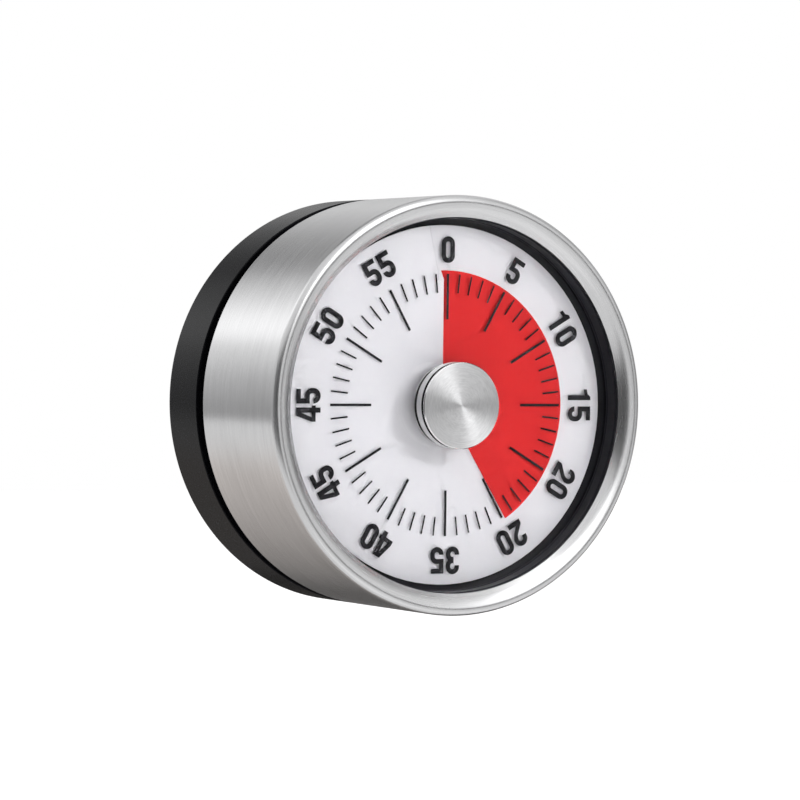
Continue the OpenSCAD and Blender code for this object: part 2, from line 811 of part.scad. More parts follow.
// The hammer's tail stands at right angles to the cam's radius, so that the cam lifts it
tail_angle = atan2(hammer_at[1], hammer_at[0]) - acos(tail_tip_r / norm(hammer_at));
tail_tip = polar(tail_tip_r + 0.5, tail_angle);

module hammer_arbor() {
    at(hammer_at, hammer_arm_z - 0.6) cylinder(r = staff_r, h = cam_z + 1.4 - hammer_arm_z + 0.6);
}

module hammer_arm() {
    translate([0, 0, hammer_arm_z])
        arm(hammer_at, hammer_head_at, 1.6, hammer_arm_h, staff_r + 0.01)
            at(hammer_head_at, -1) cylinder(r = 0.5, h = 3);
}

module hammer_head() {
    at(hammer_head_at, hammer_arm_z + hammer_arm_h) cylinder(r = hammer_head_r, h = 2);
    at(hammer_head_at, hammer_arm_z) cylinder(r = 0.49, h = hammer_arm_h + eps);
}

module hammer_tail() {
    translate([0, 0, cam_z + 0.1]) arm(hammer_at, tail_tip, 1, 0.8, staff_r + 0.01);
}

// ---------- nodes ----------

upright() color(black) rear_case();
upright() color(rubber_black) rubber_ring();
upright() color(steel) magnet_cup();
upright() color(dark_steel) magnet_core();
upright() color(dark_steel) case_screws();
upright() color(black) inner_frame();
upright() color(steel) steel_shell();
upright() color(black) dial_ring();
upright() color(black) dial_spacer();
upright() color([0.95, 0.97, 1, 0.2]) scale_lens();
upright() color(ink) minute_marks();
upright() color(ink) numerals();
upright() color(white) dial_plate();
upright() color(brass) front_plate();
upright() color(brass) rear_plate();
upright() color(bright_steel) plate_pillars();
upright() color(dark_steel) plate_screws();
upright() color(bright_steel) hanger_posts();
upright() color(dark_steel) hanger_screws();
upright() color(brass) arbor_bushes();
upright() color(dark_steel) mainspring();
upright() color(bright_steel) bell_washer();
upright() color(bright_steel) bell();
upright() color(dark_steel) bell_screw();
upright() color(bright_steel) knob_cap();
upright() color(black) knob_core();
upright() color(bright_steel) knob_skirt();
upright() color(white) knob_washer();
upright() color(bright_steel) main_arbor();
upright() color(dark_steel) arbor_clip();
upright() color(brass) main_wheel();
upright() color(steel) ratchet_wheel();
upright() color(bright_steel) click_stud();
upright() color(steel) click();
upright() color(white) release_cam();
upright() color(white) disc_hub();
upright() color(red) red_disc();
upright() color(bright_steel) second_arbor();
upright() color(brass) second_wheel();
upright() color(bright_steel) third_arbor();
upright() color(brass) third_wheel();
upright() color(bright_steel) escape_arbor();
upright() color(brass) escape_wheel();
upright() color(bright_steel) pallet_arbor();
upright() color(steel) pallet_lever();
upright() color(brass) balance_bar();
upright() color(bright_steel) hammer_arbor();
upright() color(steel) hammer_arm();
upright() color(dark_steel) hammer_head();
upright() color(steel) hammer_tail();
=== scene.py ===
"""A wind-up visual countdown timer with a brushed steel case, dressed for rendering.

The dial faces -Y, and +Z points at the zero mark. Lengths are in metres and angles in degrees.
A clock angle runs clockwise from the top, as seen from the dial's side.
"""
import math
from collections import namedtuple

import bmesh
import bpy
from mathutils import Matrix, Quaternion, Vector


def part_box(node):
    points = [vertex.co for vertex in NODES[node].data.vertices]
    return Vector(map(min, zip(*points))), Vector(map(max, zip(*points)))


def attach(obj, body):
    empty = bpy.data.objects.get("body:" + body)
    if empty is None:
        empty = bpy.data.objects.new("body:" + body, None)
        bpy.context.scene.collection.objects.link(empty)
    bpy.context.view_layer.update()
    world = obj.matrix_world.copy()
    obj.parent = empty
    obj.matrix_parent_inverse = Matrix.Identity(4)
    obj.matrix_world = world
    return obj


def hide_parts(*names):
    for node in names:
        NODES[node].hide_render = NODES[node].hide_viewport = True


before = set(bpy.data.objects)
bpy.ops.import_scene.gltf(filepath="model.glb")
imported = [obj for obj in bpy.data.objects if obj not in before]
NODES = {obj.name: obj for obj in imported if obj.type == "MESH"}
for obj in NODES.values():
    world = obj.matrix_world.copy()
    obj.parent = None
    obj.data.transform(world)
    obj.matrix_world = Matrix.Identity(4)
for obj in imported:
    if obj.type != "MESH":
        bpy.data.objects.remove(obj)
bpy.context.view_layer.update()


# ---------- sizes, from the frame ----------

def front(node):
    """The y of the node's side that faces the viewer."""
    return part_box(node)[0].y


def back(node):
    """The y of the node's rear side."""
    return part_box(node)[1].y


def radius(node):
    """The outer radius of a round node."""
    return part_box(node)[1].x


MM = 0.001
# The gap between a piece and the one it sits in
SEAT = 0.05 * MM
# Radii that round the edges of most pieces
CRISP = 0.05 * MM
FINE = 0.1 * MM
SOFT = 0.2 * MM

CASE_R = radius("steel_shell")
SHEET = 0.6 * MM
BEZEL_ROUND = 1.3 * MM
BEZEL_SLOPE = 33
# The bezel's slope by its crest, and how far it reaches from the wall to the fold
BROW_SLOPE = 15
BROW_WIDTH = 2.7 * MM
RIM_Y = front("steel_shell") + BEZEL_ROUND
LIP_R = CASE_R - 4.2 * MM
ARBOR_R = 2 * MM
SHAFT_R = ARBOR_R + SEAT
MAGNET_R = radius("magnet_cup")
PAD_IN = 24 * MM
PAD_OUT = radius("rubber_ring")
POST_RING_R = CASE_R - 5.8 * MM
POST_ANGLES = (45, 165, 285)
SOUND_HOLES = 12
SOUND_RING_R = 19.5 * MM
SOUND_HOLE_R = 1.2 * MM
# The (x, z) ends of the dial's slot, from the red disc's edge outward
SLOT_FOOT = (-2.1 * MM, 25.8 * MM)
SLOT_HEAD = (-4.1 * MM, 34.4 * MM)

# ---------- camera ----------

CAMERA_AZIMUTH = -29.7
CAMERA_ELEVATION = 1.1
CAMERA_ROLL = 0.68
CAMERA_DISTANCE = 0.7
CLIP_NEAR = 0.01
CLIP_FAR = 20
FOCAL_PX = 3683.0
IMAGE_PX = 800
SENSOR_MM = 36.0
RIM_CENTRE_PX = (459.1, 405.6)


def direction(azimuth, elevation):
    """Unit vector from the object; azimuth 0 is the front and 90 is its right-hand side, +X."""
    a = math.radians(azimuth)
    e = math.radians(elevation)
    return Vector((math.sin(a) * math.cos(e), -math.cos(a) * math.cos(e), math.sin(e)))


def make_camera():
    """The photograph's view: the rim's centre lands where the photograph has it, with no lens shift."""
    data = bpy.data.cameras.new("camera")
    data.sensor_width = SENSOR_MM
    data.lens = FOCAL_PX / IMAGE_PX * SENSOR_MM
    data.clip_start = CLIP_NEAR
    data.clip_end = CLIP_FAR
    camera = bpy.data.objects.new("camera", data)
    bpy.context.scene.collection.objects.link(camera)
    towards = direction(CAMERA_AZIMUTH, CAMERA_ELEVATION)
    camera.location = Vector((0, RIM_Y, 0)) + towards * CAMERA_DISTANCE
    right = (RIM_CENTRE_PX[0] - IMAGE_PX / 2) / FOCAL_PX
    down = (RIM_CENTRE_PX[1] - IMAGE_PX / 2) / FOCAL_PX
    look = (-towards).to_track_quat("-Z", "Y")
    roll = Quaternion((0, 0, 1), math.radians(CAMERA_ROLL))
    pan = Quaternion((0, 1, 0), math.atan(right))
    tilt = Quaternion((1, 0, 0), math.atan(down))
    camera.rotation_mode = "QUATERNION"
    camera.rotation_quaternion = look @ roll @ pan @ tilt
    bpy.context.scene.camera = camera


# ---------- material nodes ----------

WHITE = (1, 1, 1, 1)
# The Mix node's sockets for colours
MIX_A = 6
MIX_B = 7
MIX_RESULT = 2
# The range that holds most of a noise's values
NOISE_RANGE = (0.3, 0.7)


class Nodes:
    """Short forms for building a material's node tree."""

    def __init__(self, name):
        self.material = bpy.data.materials.new(name)
        self.material.use_nodes = True
        self.tree = self.material.node_tree
        self.tree.nodes.clear()
        self.out = self.tree.nodes.new("ShaderNodeOutputMaterial")

    def node(self, kind, **settings):
        made = self.tree.nodes.new(kind)
        for key, value in settings.items():
            setattr(made, key, value)
        return made

    def put(self, socket, value):
        """Links a socket to a socket, or sets its value."""
        if isinstance(value, bpy.types.NodeSocket):
            self.tree.links.new(value, socket)
        elif value is not None:
            socket.default_value = value

    def fill(self, node, *values):
        """Puts values in a node's inputs, in order, and gives its first output."""
        for socket, value in zip(node.inputs, values):
            self.put(socket, value)
        return node.outputs[0]

    def math(self, operation, a, b=None, clamp=False):
        return self.fill(self.node("ShaderNodeMath", operation=operation, use_clamp=clamp), a, b)

    def product(self, *factors):
        total = factors[0]
        for factor in factors[1:]:
            total = self.math("MULTIPLY", total, factor)
        return total

    def weighted(self, a, share_a, b, share_b):
        """A sum of two values, each times its share."""
        return self.math("ADD", self.product(a, share_a), self.product(b, share_b))

    def combine(self, x, y, z):
        return self.fill(self.node("ShaderNodeCombineXYZ"), x, y, z)

    def place(self):
        """The point's place in the part's frame."""
        return self.node("ShaderNodeTexCoord").outputs["Object"]

    def split(self, vector):
        made = self.node("ShaderNodeSeparateXYZ")
        self.put(made.inputs[0], vector)
        return made.outputs

    def noise(self, vector, w=None, scale=1.0, detail=2.0, roughness=0.5):
        made = self.node("ShaderNodeTexNoise", noise_dimensions="4D" if w is not None else "3D")
        self.put(made.inputs["Vector"], vector)
        if w is not None:
            self.put(made.inputs["W"], w)
        self.put(made.inputs["Scale"], scale)
        self.put(made.inputs["Detail"], detail)
        self.put(made.inputs["Roughness"], roughness)
        return made.outputs["Fac"]

    def ramp(self, factor, low, high, from_low=0.0, from_high=1.0, smooth=False):
        """Maps a value in one range to another range."""
        kind = "SMOOTHSTEP" if smooth else "LINEAR"
        made = self.node("ShaderNodeMapRange", interpolation_type=kind)
        return self.fill(made, factor, from_low, from_high, low, high)

    def varied(self, noise, value, share):
        """A value that strays by a share of itself to both sides, as the noise does."""
        return self.ramp(noise, value * (1 - share), value * (1 + share), *NOISE_RANGE)

    def mix(self, factor, a, b):
        made = self.node("ShaderNodeMix", data_type="RGBA")
        self.put(made.inputs[0], factor)
        self.put(made.inputs[MIX_A], a)
        self.put(made.inputs[MIX_B], b)
        return made.outputs[MIX_RESULT]

    def tinted(self, factor, colour, share):
        """The colour, darker by the share where the factor is 0 and lighter by it where it is 1."""
        return self.mix(factor, shade(colour, 1 - share), shade(colour, 1 + share))

    def bump(self, height, distance):
        made = self.node("ShaderNodeBump")
        self.put(made.inputs["Height"], height)
        self.put(made.inputs["Distance"], distance)
        return made.outputs[0]

    def principled(self, **inputs):
        """The shader, with its inputs named as in Blender, with _ for a blank."""
        shader = self.node("ShaderNodeBsdfPrincipled")
        for key, value in inputs.items():
            self.put(shader.inputs[key.replace("_", " ")], value)
        self.put(self.out.inputs["Surface"], shader.outputs[0])
        return self.material


def rgb(r, g, b):
    """A colour written as sRGB bytes, in Blender's linear values."""
    def linear(c):
        c /= 255
        return c / 12.92 if c <= 0.04045 else ((c + 0.055) / 1.055) ** 2.4
    return (linear(r), linear(g), linear(b), 1.0)


def shade(colour, factor):
    return tuple(min(1.0, c * factor) for c in colour[:3]) + (1.0,)


# ---------- finishes ----------

STEEL = rgb(200, 200, 201)
# Scales of the noises that cloud the finishes, and of the dial's paint grain, in cells to the metre
STEEL_CLOUDS = 90.0
METAL_CLOUDS = 70.0
PLASTIC_CLOUDS = 60.0
LENS_WAVES = 25.0
FLOOR_CLOUDS = 4.0
PAINT_GRAIN = 4000.0
# Inside this radius the brushed lines no longer follow circles
BRUSH_CORE_R = 0.1 * MM
# The range of the brushed lines' noise that runs from their darkest to their lightest colour
BRUSH_TONES = (0.35, 0.65)
# The broad lines' pitch and length, in times those of the fine ones, and what each adds to the lines
BROAD_PITCH = 6
BROAD_LENGTH = 3
FINE_SHARE = 0.65
BROAD_SHARE = 0.35
# What the lines and the clouds add to the steel's tone
LINES_SHARE = 0.8
CLOUDS_SHARE = 0.2
# How far each kind's roughness strays from its mean, as a share of it
STEEL_SPREAD = 0.12
METAL_SPREAD = 0.15
PLASTIC_SPREAD = 0.1
# The painted shade beside the dial's slot, standing for the shade that the dial's raised edge throws: its
# colour, and the strength and width of its two parts
SLOT_SHADE = (0.12, 0.12, 0.15, 1)
SLOT_CORE = (0.14, 0.5 * MM)
SLOT_FRINGE = (0.06, 5 * MM)
# How far the shade runs on below the slot's foot, under the disc
SLOT_UNDERLAP = 2 * MM
LENS_TINT = (0.99, 0.99, 0.99, 1)


def circular_lines(n, pitch, length):
    """Noise drawn out along circles about the dial's axis: pitch is across the lines, length along them."""
    x, y, z = n.split(n.place())
    r = n.math("SQRT", n.math("ADD", n.product(x, x), n.product(z, z)))
    safe = n.math("MAXIMUM", r, BRUSH_CORE_R)
    stretch = CASE_R / length
    around = n.combine(
        n.product(n.math("DIVIDE", x, safe), stretch),
        n.product(n.math("DIVIDE", z, safe), stretch),
        n.math("DIVIDE", y, pitch),
    )
    return n.noise(around, n.math("DIVIDE", r, pitch), detail=3.0, roughness=0.6)


def brushed_steel(name, colour, roughness, anisotropy, pitch=0.16 * MM, length=14 * MM,
                  depth=0.004 * MM, streaks=0.06):
    """Steel brushed in circles about the dial's axis."""
    n = Nodes(name)
    fine = circular_lines(n, pitch, length)
    broad = circular_lines(n, pitch * BROAD_PITCH, length * BROAD_LENGTH)
    lines = n.weighted(fine, FINE_SHARE, broad, BROAD_SHARE)
    cloud = n.noise(n.place(), scale=STEEL_CLOUDS, detail=2.0)
    tone = n.weighted(lines, LINES_SHARE, cloud, CLOUDS_SHARE)
    tangent = n.node("ShaderNodeTangent", direction_type="RADIAL", axis="Y").outputs[0]
    return n.principled(
        Base_Color=n.tinted(n.ramp(tone, 0.0, 1.0, *BRUSH_TONES), colour, streaks),
        Metallic=1.0,
        Roughness=n.varied(lines, roughness, STEEL_SPREAD),
        Anisotropic=anisotropy,
        Anisotropic_Rotation=0.25,
        Tangent=tangent,
        Normal=n.bump(lines, depth),
    )


def plain_metal(name, colour, roughness, grain=0.3 * MM, depth=0.002 * MM, variation=0.06):
    """Metal with a fine even finish: stamped, plated or polished."""
    n = Nodes(name)
    fine = n.noise(n.place(), scale=1 / grain, detail=3.0)
    cloud = n.noise(n.place(), scale=METAL_CLOUDS, detail=2.0)
    return n.principled(
        Base_Color=n.tinted(cloud, colour, variation),
        Metallic=1.0,
        Roughness=n.varied(fine, roughness, METAL_SPREAD),
        Normal=n.bump(fine, depth),
    )


def moulded_plastic(name, colour, roughness, gloss=0.5, grain=0.3 * MM, depth=0.004 * MM,
                    mottling=0.05):
    """Plastic, rubber, paint or film: gloss is the shader's specular level."""
    n = Nodes(name)
    cloud = n.noise(n.place(), scale=PLASTIC_CLOUDS, detail=3.0)
    fine = n.noise(n.place(), scale=1 / grain, detail=3.0, roughness=0.6)
    return n.principled(
        Base_Color=n.tinted(cloud, colour, mottling),
        Roughness=n.varied(fine, roughness, PLASTIC_SPREAD),
        Specular_IOR_Level=gloss,
        Normal=n.bump(fine, depth),
    )


def slotted_dial(name, colour):
    """White dial sheet, with a painted shade beside the slot for the shade that its raised edge throws."""
    n = Nodes(name)
    x, _, z = n.split(n.place())
    cloud = n.noise(n.place(), scale=PLASTIC_CLOUDS, detail=3.0)
    fine = n.noise(n.place(), scale=PAINT_GRAIN, detail=2.0)
    sheet = n.tinted(cloud, colour, share=0.01)
    edge_x = n.ramp(z, SLOT_FOOT[0], SLOT_HEAD[0], SLOT_FOOT[1], SLOT_HEAD[1])
    beside = n.math("SUBTRACT", x, edge_x)
    right = n.math("GREATER_THAN", beside, 0.0)
    upper = n.math("GREATER_THAN", z, SLOT_FOOT[1] - SLOT_UNDERLAP)
    core = n.ramp(beside, SLOT_CORE[0], 0.0, 0.0, SLOT_CORE[1])
    fringe = n.ramp(beside, SLOT_FRINGE[0], 0.0, 0.0, SLOT_FRINGE[1])
    # Painted shade: the dial's colour darkens beside the slot, where the raised edge throws its shade
    shadow = n.product(n.math("ADD", core, fringe), right, upper)
    return n.principled(
        Base_Color=n.mix(shadow, sheet, SLOT_SHADE),
        Roughness=0.55,
        Specular_IOR_Level=0.2,
        Normal=n.bump(fine, distance=0.001 * MM),
    )


def clear_acrylic(name):
    """Clear plastic with the faintest cloudy tint."""
    n = Nodes(name)
    wave = n.noise(n.place(), scale=LENS_WAVES, detail=1.0)
    return n.principled(
        Base_Color=n.mix(wave, LENS_TINT, WHITE),
        Roughness=0.0,
        IOR=1.49,
        Transmission_Weight=1.0,
    )


def make_materials():
    """One finish for each of the record's material slots, and the second finishes of some pieces."""
    return {
        "steel_shell": brushed_steel(
            "brushed_shell", STEEL, roughness=0.21, anisotropy=0.93, length=8 * MM, streaks=0.12,
        ),
        "steel_bezel": brushed_steel(
            "satin_bezel", STEEL, roughness=0.26, anisotropy=0.4, length=5 * MM, depth=0.001 * MM,
        ),
        "rear_shell": moulded_plastic(
            "rear_plastic", rgb(10, 10, 13), roughness=0.28, gloss=0.06, depth=0.002 * MM,
        ),
        "groove_black": moulded_plastic("groove_plastic", rgb(2, 2, 3), roughness=0.6, gloss=0.0),
        "dial_ring": moulded_plastic("ring_plastic", rgb(26, 26, 31), roughness=0.35, gloss=0.1),
        "white_dial": slotted_dial("dial_white", rgb(234, 233, 238)),
        "red_disc": moulded_plastic(
            "disc_red", rgb(199, 36, 37), roughness=0.5, gloss=0.08, depth=0.002 * MM, mottling=0.03,
        ),
        "ink": moulded_plastic(
            "printed_ink", rgb(32, 31, 35), roughness=0.5, gloss=0.1, grain=0.4 * MM, mottling=0.12,
        ),
        "lens": clear_acrylic("lens_acrylic"),
        "knob_steel": brushed_steel(
            "spun_knob", rgb(217, 217, 218), roughness=0.38, anisotropy=0.94, pitch=0.22 * MM,
            length=9 * MM, streaks=0.15,
        ),
        "knob_bright": plain_metal("bright_edge", rgb(225, 225, 226), roughness=0.12),
        "knob_black": moulded_plastic("knob_plastic", rgb(14, 14, 15), roughness=0.5, gloss=0.1),
        "rubber": moulded_plastic(
            "pad_rubber", rgb(28, 28, 28), roughness=0.75, gloss=0.3, depth=0.02 * MM,
        ),
        "zinc_steel": plain_metal("zinc_plating", rgb(170, 171, 175), roughness=0.25),
        "magnet": moulded_plastic(
            "magnet_ferrite", rgb(52, 51, 53), roughness=0.45, gloss=0.6, mottling=0.15,
        ),
        "screw_steel": plain_metal("black_zinc", rgb(96, 96, 99), roughness=0.35),
        "brass": plain_metal("stamped_brass", rgb(214, 178, 108), roughness=0.28),
        "arbor_steel": plain_metal("turned_steel", rgb(196, 196, 199), roughness=0.22),
        "spring_steel": plain_metal("blued_spring", rgb(92, 97, 112), roughness=0.25),
        "bell_steel": plain_metal("nickel_plating", rgb(208, 205, 198), roughness=0.12),
        "white_plastic": moulded_plastic("acetal", rgb(232, 230, 222), roughness=0.35),
    }


# ---------- turned pieces ----------

# A corner of a turned piece's outline: its place, the radius that rounds it, and the finish from there on.
# A finish is a place in the piece's list of them, which its own finish heads
Corner = namedtuple("Corner", "r y round finish", defaults=(0.0, 0))
SECOND_FINISH = 1
THIRD_FINISH = 2
# A round hole along the dial's axis
Hole = namedtuple("Hole", "x z r start end")
TURN_SEGMENTS = 256
HOLE_SEGMENTS = 48
# The most degrees of a rounded corner between two of its points
ARC_STEP = 6
SHARP_ANGLE = 28
# An outline's point nearer the axis than this lies on it
AXIS_R = 1e-6


def rounded_corner(before, corner, after):
    """The points of the arc that rounds a corner."""
    here = Vector((corner.r, corner.y))
    back_way = (Vector((before.r, before.y)) - here).normalized()
    on_way = (Vector((after.r, after.y)) - here).normalized()
    half = back_way.angle(on_way) / 2
    reach = corner.round / math.tan(half)
    centre = here + (back_way + on_way).normalized() * corner.round / math.sin(half)
    start = here + back_way * reach - centre
    sweep = start.angle_signed(here + on_way * reach - centre)
    steps = max(2, math.ceil(abs(math.degrees(sweep)) / ARC_STEP))
    first = math.atan2(start.y, start.x)
    points = []
    for i in range(steps + 1):
        angle = first - sweep * i / steps
        points.append(centre + corner.round * Vector((math.cos(angle), math.sin(angle))))
    return points


def rounded_outline(corners):
    """(r, y, finish) points of a closed outline with its corners rounded."""
    points = []
    for i, corner in enumerate(corners):
        if corner.round:
            arc = rounded_corner(corners[i - 1], corner, corners[(i + 1) % len(corners)])
            points += [(p.x, p.y, corner.finish) for p in arc]
        else:
            points.append((corner.r, corner.y, corner.finish))
    return points


def object_from(mesh, name):
    """An object in the scene made from a bmesh, which is freed."""
    data = bpy.data.meshes.new(name)
    mesh.to_mesh(data)
    mesh.free()
    made = bpy.data.objects.new(name, data)
    bpy.context.scene.collection.objects.link(made)
    return made


def turned_mesh(name, corners):
    """A closed mesh turned about the dial's axis from an outline."""
    outline = rounded_outline(corners)
    mesh = bmesh.new()
    turn = [2 * math.pi * k / TURN_SEGMENTS for k in range(TURN_SEGMENTS)]
    rings = []
    for r, y, _ in outline:
        if r < AXIS_R:
            rings.append([mesh.verts.new((0, y, 0))] * TURN_SEGMENTS)
        else:
            rings.append([mesh.verts.new((r * math.sin(t), y, r * math.cos(t))) for t in turn])
    for i, (_, _, finish) in enumerate(outline):
        here = rings[i]
        there = rings[(i + 1) % len(rings)]
        if here[0] is here[1] and there[0] is there[1]:
            continue
        for k in range(TURN_SEGMENTS):
            after = (k + 1) % TURN_SEGMENTS
            face = mesh.faces.new(dict.fromkeys((here[k], there[k], there[after], here[after])))
            face.material_index = finish
            face.smooth = True
    bmesh.ops.recalc_face_normals(mesh, faces=mesh.faces)
    made = object_from(mesh, name)
    made.data.set_sharp_from_angle(angle=math.radians(SHARP_ANGLE))
    return made


def drill(piece, holes):
    """Cuts the holes through a piece."""
    cutter = bmesh.new()
    onto_axis = Quaternion((1, 0, 0), math.pi / 2).to_matrix()
    for hole in holes:
        made = bmesh.ops.create_cone(
            cutter, cap_ends=True, segments=HOLE_SEGMENTS, radius1=hole.r, radius2=hole.r,
            depth=hole.end - hole.start,
        )
        middle = (hole.x, (hole.start + hole.end) / 2, hole.z)
        bmesh.ops.rotate(cutter, verts=made["verts"], matrix=onto_axis)
        bmesh.ops.translate(cutter, verts=made["verts"], vec=middle)
    tool = object_from(cutter, "cutter")
    cut = piece.modifiers.new("holes", "BOOLEAN")
    cut.object = tool
    cut.solver = "EXACT"
    cut.use_self = True
    bpy.context.view_layer.update()
    seen = piece.evaluated_get(bpy.context.evaluated_depsgraph_get())
    result = bpy.data.meshes.new_from_object(seen)
    piece.modifiers.clear()
    piece.data = result
    bpy.data.objects.remove(tool)
    result.set_sharp_from_angle(angle=math.radians(SHARP_ANGLE))


def stand_for(piece, node, slot, body, materials, *finishes):
    """The piece takes the CAD node's place, with the slot's finish and any others after it."""
    for finish in (slot,) + finishes:
        piece.data.materials.append(materials[finish])
    weighted = piece.modifiers.new("weighted_normals", "WEIGHTED_NORMAL")
    weighted.keep_sharp = True
    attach(piece, body)
    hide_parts(node)


def bend_peak(bend, slope):
    """The y where the wall and a face that slopes would meet if no bend joined them at RIM_Y."""
    return RIM_Y - bend * math.tan((math.pi / 2 + slope) / 2)


def make_shell(materials):
    """The drawn shell: a brushed wall that rolls over into the sloped bezel and ends in a hemmed lip.

    The bezel is less steep by its crest, up to a soft fold.
    """
    satin = SECOND_FINISH
    black = THIRD_FINISH
    slope = math.radians(BEZEL_SLOPE)
    drop = math.tan(slope)
    lip_y = bend_peak(BEZEL_ROUND, slope) + (CASE_R - LIP_R) * drop
    hem_y = lip_y + SHEET
    hem_r = LIP_R + SHEET
    brow = math.radians(BROW_SLOPE)
    brow_y = bend_peak(BEZEL_ROUND, brow)
    fold_y = brow_y + BROW_WIDTH * math.tan(brow)
    fold_round = 4 * MM
    inner_r = CASE_R - SHEET
    inner_round = BEZEL_ROUND - SHEET
    inner_peak = bend_peak(inner_round, slope)
    rear = back("steel_shell")
    nick = 0.12 * MM
    shell = turned_mesh("brushed_case", [
        Corner(inner_r, rear),
        Corner(CASE_R, rear, nick),
        Corner(CASE_R, brow_y, BEZEL_ROUND, satin),
        Corner(CASE_R - BROW_WIDTH, fold_y, fold_round, satin),
        # The lip's edge takes the black ring's finish: a painted dark line standing for the shadowed gap
        # between lip and ring
        Corner(LIP_R, lip_y, nick / 2, black),
        Corner(LIP_R, hem_y, finish=satin),
        Corner(hem_r, hem_y, finish=satin),
        Corner(hem_r, inner_peak + (inner_r - hem_r) * drop, finish=satin),
        Corner(inner_r, inner_peak, inner_round, satin),
    ])
    stand_for(shell, "steel_shell", "steel_shell", "case", materials, "steel_bezel", "dial_ring")


def rear_holes():
    """The sound holes, and a stepped hole for each case screw."""
    outer_end = 1 * MM
    floor_end = -4 * MM
    seat_end = -2 * MM
    screw_head_r = 2.6 * MM
    screw_r = 1.2 * MM
    holes = []
    for i in range(SOUND_HOLES):
        a = math.radians(360 * i / SOUND_HOLES)
        x = SOUND_RING_R * math.cos(a)
        z = SOUND_RING_R * math.sin(a)
        holes.append(Hole(x, z, SOUND_HOLE_R, floor_end, outer_end))
    for angle in POST_ANGLES:
        a = math.radians(angle)
        x = POST_RING_R * math.cos(a)
        z = POST_RING_R * math.sin(a)
        holes.append(Hole(x, z, screw_head_r, seat_end, outer_end))
        holes.append(Hole(x, z, screw_r, floor_end, outer_end))
    return holes


def make_rear_case(materials):
    """The black rear shell, with its magnet pocket, its pad's groove and its holes."""
    outside = back("rear_case")
    rim = front("rear_case")
    floor = -3 * MM
    inner_r = CASE_R - 1.8 * MM
    pocket_r = MAGNET_R + SEAT
    pocket_y = front("magnet_cup") - SEAT
    boss_r = MAGNET_R + 2 * MM
    boss_y = -6.6 * MM
    bore_r = 1.5 * MM
    groove_in = PAD_IN - SEAT
    groove_out = PAD_OUT + SEAT
    groove_y = front("rubber_ring")
    mouth = 0.25 * MM
    shoulder = 1 * MM
    fillet = 0.5 * MM
    case = turned_mesh("moulded_rear", [
        Corner(pocket_r, outside, mouth),
        Corner(groove_in, outside, mouth),
        Corner(groove_in, groove_y),
        Corner(groove_out, groove_y),
        Corner(groove_out, outside, mouth),
        Corner(CASE_R, outside, shoulder),
        Corner(CASE_R, rim, SOFT),
        Corner(inner_r, rim, FINE),
        Corner(inner_r, floor, fillet),
        Corner(boss_r, floor, fillet),
        Corner(boss_r, boss_y, SOFT),
        Corner(bore_r, boss_y),
        Corner(bore_r, pocket_y),
        Corner(pocket_r, pocket_y),
    ])
    drill(case, rear_holes())
    stand_for(case, "rear_case", "rear_shell", "case", materials)


def make_dial_rings(materials):
    """The black ring between bezel and lens, with a bead at its foot, and the ring under the lens."""
    wall_r = LIP_R - 0.2 * MM
    outer_r = radius("dial_ring")
    foot = back("dial_ring")
    top = front("dial_ring")
    bevel = 0.6 * MM
    inner_edge = 0.25 * MM
    bead = 0.2 * MM
    bead_top = foot - 0.32 * MM
    ring = turned_mesh("bezel_ring", [
        Corner(wall_r - bead, foot),
        Corner(outer_r, foot),
        Corner(outer_r, top + bevel),
        Corner(outer_r - bevel, top),
        Corner(wall_r, top, inner_edge),
        Corner(wall_r, bead_top, bead / 2),
        Corner(wall_r - bead, foot - bead, bead / 2),
    ])
    stand_for(ring, "dial_ring", "dial_ring", "case", materials)
    spacer_r = radius("dial_spacer")
    deck = back("dial_spacer")
    spacer_top = front("dial_spacer")
    dial_gap = 0.1 * MM
    dial_r = radius("dial_plate") + dial_gap
    chamfer = 0.9 * MM
    spacer = turned_mesh("under_ring", [
        Corner(dial_r, deck),
        Corner(spacer_r, deck),
        Corner(spacer_r, spacer_top),
        Corner(dial_r + chamfer, spacer_top, SOFT),
        Corner(dial_r, spacer_top + chamfer, SOFT),
    ])
    stand_for(spacer, "dial_spacer", "dial_ring", "case", materials)


def make_lens(materials):
    """The clear disc over the dial, with a hole for the knob's arbor."""
    lens_r = radius("scale_lens")
    face = front("scale_lens")
    rear = back("scale_lens")
    bore_r = 2.6 * MM
    lens = turned_mesh("dial_lens", [
        Corner(bore_r, rear),
        Corner(lens_r, rear, FINE),
        Corner(lens_r, face, FINE),
        Corner(bore_r, face),
    ])
    stand_for(lens, "scale_lens", "lens", "case", materials)


def make_knob(materials):
    """The spun cap with its bright rim and its groove, which is painted black for its shade and dark
    reflection, the black core and the steel skirt.
    """
    bright = SECOND_FINISH
    black = THIRD_FINISH
    knob_r = radius("knob_cap")
    face = front("knob_cap")
    under = back("knob_cap")
    chamfer = 0.15 * MM
    groove_y = face + 0.3 * MM
    groove_round = 0.04 * MM
    groove_r = knob_r - 0.35 * MM
    groove_floor = groove_y + 0.1 * MM
    groove_end = groove_y + 0.8 * MM
    bore_y = face + 1 * MM
    cap = turned_mesh("knob_face", [
        Corner(0, face),
        Corner(knob_r - chamfer, face, CRISP, bright),
        Corner(knob_r, face + chamfer, CRISP, bright),
        # The groove's faces take the black finish: painted shade and dark reflection in the steel groove
        Corner(knob_r, groove_y, groove_round, black),
        Corner(groove_r, groove_floor, finish=black),
        Corner(knob_r, groove_end, CRISP),
        Corner(knob_r, under, chamfer, bright),
        Corner(SHAFT_R, under),
        Corner(SHAFT_R, bore_y),
        Corner(0, bore_y),
    ])
    stand_for(cap, "knob_cap", "knob_steel", "knob", materials, "knob_bright", "knob_black")
    make_collar(materials, "knob_neck", "knob_core", "knob_black", 0.0)
    make_collar(materials, "knob_flange", "knob_skirt", "knob_steel", FINE)


